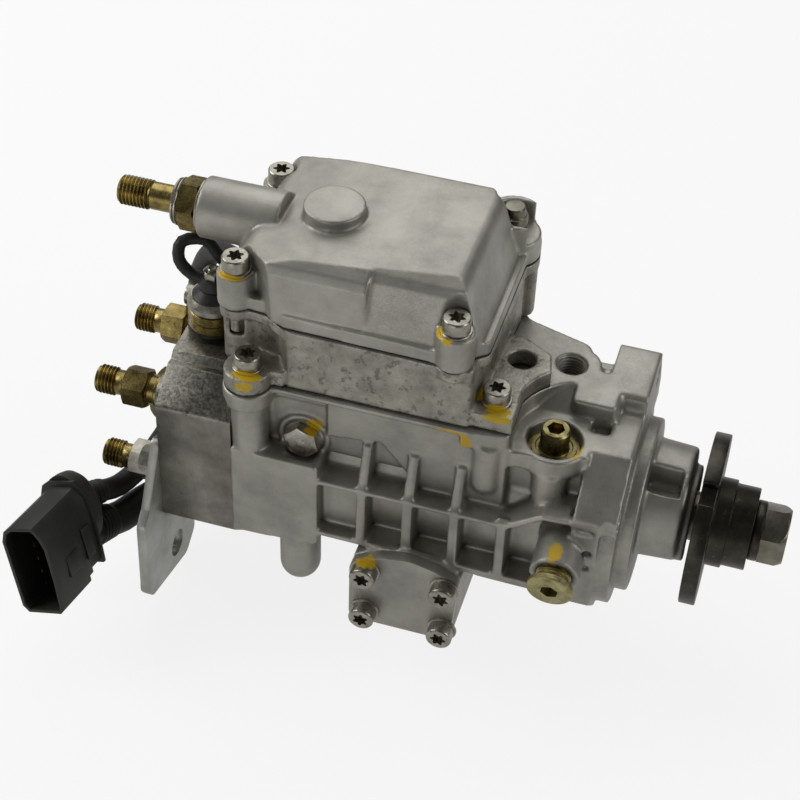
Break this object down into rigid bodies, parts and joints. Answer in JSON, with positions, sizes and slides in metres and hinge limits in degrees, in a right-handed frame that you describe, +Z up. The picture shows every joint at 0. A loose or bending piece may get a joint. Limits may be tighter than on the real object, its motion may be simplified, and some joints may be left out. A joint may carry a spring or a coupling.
{
  "type": "diesel injection pump",
  "caption": "Distributor injection pump with flanged drive end, keyed hub, actuator housing and cover, threaded outlets, shut-off solenoid and wiring socket.",
  "frame": {"origin": "on the drive axis, in the front face of the mounting flange", "axes": "+X out of the drive end along the shaft, +Z up through the actuator cover, -Y to the ribbed side with the wiring socket"},
  "size_m": [0.3036, 0.1518, 0.1864],
  "materials": {
    "cast_aluminium": "bead-blasted die-cast aluminium, matt",
    "speckled_casting": "die-cast aluminium with a coarse speckled skin",
    "head_steel": "ground and blasted alloy steel",
    "machined_steel": "turned and ground steel",
    "zinc_plated_steel": "zinc-plated screws and small parts",
    "olive_chromate": "olive and gold chromated steel",
    "black_oxide": "black-oxidised steel",
    "bracket_steel": "stamped steel plate, zinc plated",
    "bronze": "sintered bronze",
    "coil_winding": "laminations and lacquered copper winding",
    "board_plastic": "resin-bonded board",
    "black_rubber": "black rubber",
    "black_plastic": "glass-filled moulded plastic"
  },
  "bodies": {
    "housing": {"pump_housing": "cast_aluminium", "top_cover": "cast_aluminium", "timing_covers": "cast_aluminium", "actuator_housing": "speckled_casting", "distributor_head": "head_steel", "supply_ring": "machined_steel", "supply_plate": "machined_steel", "central_plug": "machined_steel", "head_bolts": "zinc_plated_steel", "valve_springs": "zinc_plated_steel", "terminal_nut": "zinc_plated_steel", "torx_screws": "zinc_plated_steel", "security_screw": "zinc_plated_steel", "fitting_washers": "zinc_plated_steel", "plunger_springs": "zinc_plated_steel", "timing_spring": "zinc_plated_steel", "hex_bolts": "zinc_plated_steel", "outlet_holders": "olive_chromate", "shutoff_solenoid": "olive_chromate", "return_fitting": "olive_chromate", "regulator_plug": "olive_chromate", "adjust_screw": "olive_chromate", "rear_bracket": "bracket_steel", "shaft_bushes": "bronze", "actuator_stator": "coil_winding", "position_sensor": "board_plastic", "gaskets": "black_rubber", "shutoff_cable": "black_rubber", "shaft_seal": "black_rubber", "main_lead": "black_rubber", "timing_lead": "black_rubber", "lead_gland": "black_rubber", "connector": "black_plastic", "timing_valve": "black_plastic"},
    "shaft": {"drive_shaft": "machined_steel", "shaft_key": "zinc_plated_steel", "drive_hub": "black_oxide", "hub_washer": "machined_steel", "hub_nut": "olive_chromate", "supply_rotor": "zinc_plated_steel", "supply_vanes": "machined_steel", "cross_disc": "zinc_plated_steel"},
    "cam": {"cam_plate": "machined_steel", "plunger": "zinc_plated_steel"},
    "bridge": {"spring_bridge": "machined_steel"},
    "ring": {"roller_ring": "machined_steel", "ring_pins": "zinc_plated_steel"},
    "roller_1": {"roller_1": "zinc_plated_steel"},
    "roller_2": {"roller_2": "zinc_plated_steel"},
    "roller_3": {"roller_3": "zinc_plated_steel"},
    "roller_4": {"roller_4": "zinc_plated_steel"},
    "actuator": {"actuator_rotor": "zinc_plated_steel"},
    "collar": {"control_collar": "zinc_plated_steel"},
    "timing_piston": {"timing_piston": "zinc_plated_steel"},
    "armature": {"solenoid_armature": "zinc_plated_steel"},
    "valve_1": {"delivery_valve_1": "zinc_plated_steel"},
    "valve_2": {"delivery_valve_2": "zinc_plated_steel"},
    "valve_3": {"delivery_valve_3": "zinc_plated_steel"},
    "valve_4": {"delivery_valve_4": "zinc_plated_steel"},
    "regulator": {"regulator_piston": "zinc_plated_steel"}
  },
  "joints": [
    {"name": "shaft_spin", "type": "hinge", "parent": "housing", "child": "shaft", "pos_m": [0, 0, 0], "axis": [1, 0, 0], "continuous": true},
    {"name": "plunger_stroke", "type": "slide", "parent": "shaft", "child": "cam", "axis": [1, 0, 0], "range_m": [0, 0.0029]},
    {"name": "bridge_stroke", "type": "slide", "parent": "housing", "child": "bridge", "axis": [1, 0, 0], "range_m": [0, 0.0029], "deforming": ["plunger_springs"]},
    {"name": "roller_ring_swing", "type": "hinge", "parent": "housing", "child": "ring", "pos_m": [-0.0795, 0, 0], "axis": [1, 0, 0], "range_deg": [-7.5, 7.5]},
    {"name": "timing_slide", "type": "slide", "parent": "housing", "child": "timing_piston", "axis": [0, 1, 0], "range_m": [-0.0053, 0.0053], "deforming": ["timing_spring"]},
    {"name": "actuator_turn", "type": "hinge", "parent": "housing", "child": "actuator", "pos_m": [-0.128, 0.004, 0], "axis": [0, 0, -1], "range_deg": [0, 60], "stiffness_Nm_per_rad": 0.02},
    {"name": "collar_slide", "type": "slide", "parent": "housing", "child": "collar", "axis": [-1, 0, 0], "range_m": [0, 0.0041]},
    {"name": "shutoff_lift", "type": "slide", "parent": "housing", "child": "armature", "axis": [0, 0, 1], "range_m": [0, 0.0009], "stiffness_N_per_m": 1500, "springref_m": -0.001, "deforming": ["valve_springs"]},
    {"name": "regulator_slide", "type": "slide", "parent": "housing", "child": "regulator", "axis": [0, -0.9816, -0.1908], "range_m": [0, 0.003], "stiffness_N_per_m": 1500, "springref_m": -0.002},
    {"name": "roller_1_spin", "type": "hinge", "parent": "ring", "child": "roller_1", "pos_m": [-0.0865, 0, 0], "axis": [0, 0.7071, 0.7071], "continuous": true},
    {"name": "valve_1_lift", "type": "slide", "parent": "housing", "child": "valve_1", "axis": [-1, 0, 0], "range_m": [0, 0.001], "stiffness_N_per_m": 3000, "springref_m": -0.001},
    {"name": "roller_2_spin", "type": "hinge", "parent": "ring", "child": "roller_2", "pos_m": [-0.0865, 0, 0], "axis": [0, -0.7071, 0.7071], "continuous": true},
    {"name": "valve_2_lift", "type": "slide", "parent": "housing", "child": "valve_2", "axis": [-1, 0, 0], "range_m": [0, 0.001], "stiffness_N_per_m": 3000, "springref_m": -0.001},
    {"name": "roller_3_spin", "type": "hinge", "parent": "ring", "child": "roller_3", "pos_m": [-0.0865, 0, 0], "axis": [0, -0.7071, -0.7071], "continuous": true},
    {"name": "valve_3_lift", "type": "slide", "parent": "housing", "child": "valve_3", "axis": [-1, 0, 0], "range_m": [0, 0.001], "stiffness_N_per_m": 3000, "springref_m": -0.001},
    {"name": "roller_4_spin", "type": "hinge", "parent": "ring", "child": "roller_4", "pos_m": [-0.0865, 0, 0], "axis": [0, 0.7071, -0.7071], "continuous": true},
    {"name": "valve_4_lift", "type": "slide", "parent": "housing", "child": "valve_4", "axis": [-1, 0, 0], "range_m": [0, 0.001], "stiffness_N_per_m": 3000, "springref_m": -0.001}
  ],
  "couplings": [
    {"joint": "bridge_stroke", "follows": "plunger_stroke", "ratio": 1},
    {"joint": "timing_slide", "follows": "roller_ring_swing", "m_per_rad": 0.04},
    {"joint": "collar_slide", "follows": "actuator_turn", "m_per_rad": 0.0038197},
    {"joint": "roller_1_spin", "follows": "shaft_spin", "ratio": 2.9286},
    {"joint": "roller_2_spin", "follows": "shaft_spin", "ratio": 2.9286},
    {"joint": "roller_3_spin", "follows": "shaft_spin", "ratio": 2.9286},
    {"joint": "roller_4_spin", "follows": "shaft_spin", "ratio": 2.9286}
  ]
}
